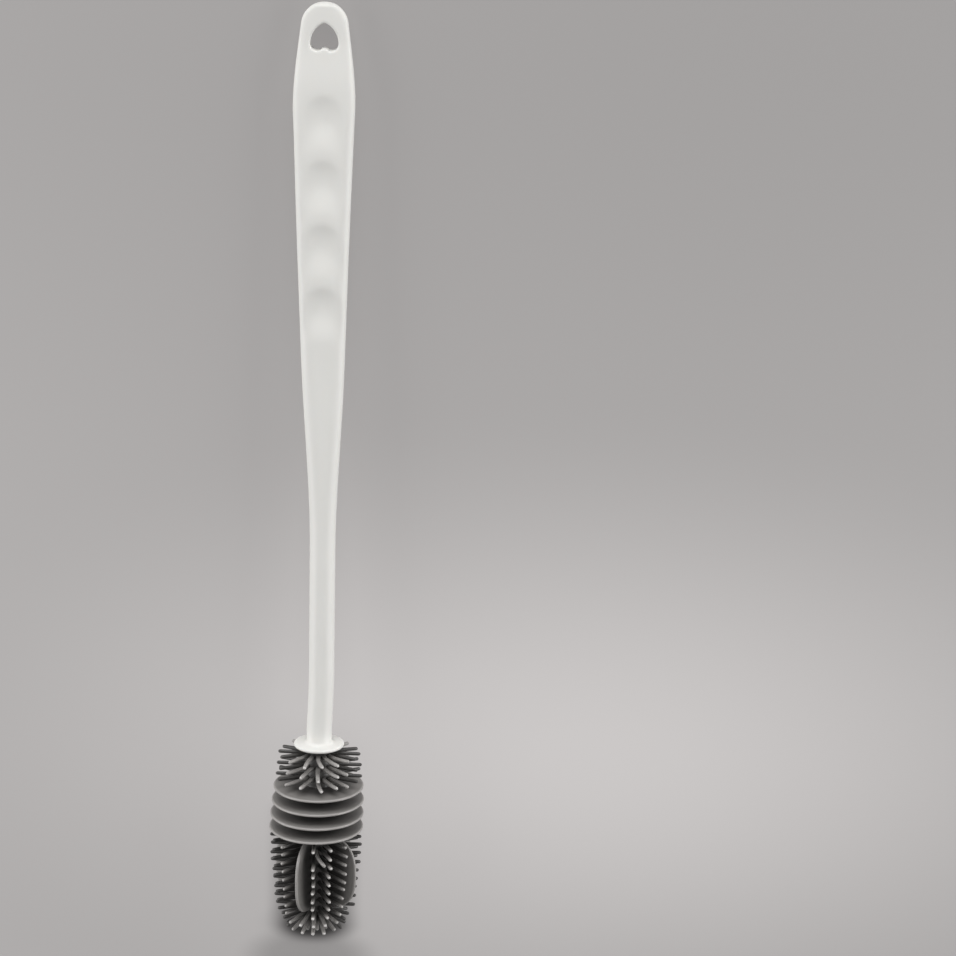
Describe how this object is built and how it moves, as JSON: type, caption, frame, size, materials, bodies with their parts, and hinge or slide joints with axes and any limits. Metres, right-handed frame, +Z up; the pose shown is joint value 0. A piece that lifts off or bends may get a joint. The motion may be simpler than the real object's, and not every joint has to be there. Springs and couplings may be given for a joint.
{
  "type": "bottle brush",
  "caption": "Long-handled bottle brush: a slim plastic handle with a hanging hole and finger scoops, and a soft moulded head of bristles, scraper discs and blades.",
  "frame": {"origin": "on the floor, at the middle of the lying brush's length and width", "axes": "+Y along the brush towards its hanging end, +Z up, which is the side with the finger scoops, +X across the grip"},
  "size_m": [0.0324, 0.3197, 0.0325],
  "materials": {
    "handle": "white moulded polypropylene with a soft satin surface",
    "head": "dark warm grey soft moulded elastomer, dull with lighter edges"
  },
  "bodies": {
    "root": {"handle": "handle", "brush_head": "head"}
  },
  "joints": []
}
